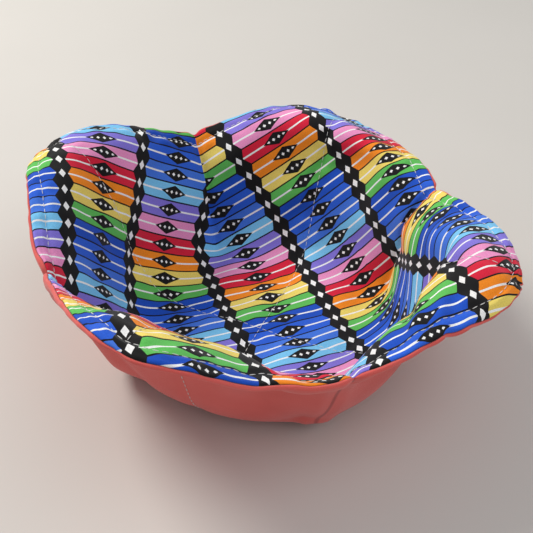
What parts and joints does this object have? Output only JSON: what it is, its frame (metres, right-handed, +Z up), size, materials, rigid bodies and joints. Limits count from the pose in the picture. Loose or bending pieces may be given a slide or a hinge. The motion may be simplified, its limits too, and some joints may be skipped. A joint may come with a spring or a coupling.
{
  "type": "microwave bowl cozy",
  "caption": "Quilted cotton bowl cozy: a darted square sandwich of lining, batting and outer cloth with a flat base and upturned petals, made to hold a hot bowl.",
  "frame": {"origin": "centre of the flat base's underside, where the cozy rests", "axes": "+Z up out of the bowl; the four dart seams lie on the X and Y axes and the petals between them"},
  "size_m": [0.1846, 0.1901, 0.0864],
  "materials": {
    "lining_print": "printed quilting cotton, matt",
    "batting": "soft cotton batting",
    "outer_cotton": "plain coral quilting cotton, matt"
  },
  "bodies": {
    "root": {"lining_panel": "lining_print", "lining_batting": "batting", "outer_batting": "batting", "outer_panel": "outer_cotton"}
  },
  "joints": []
}
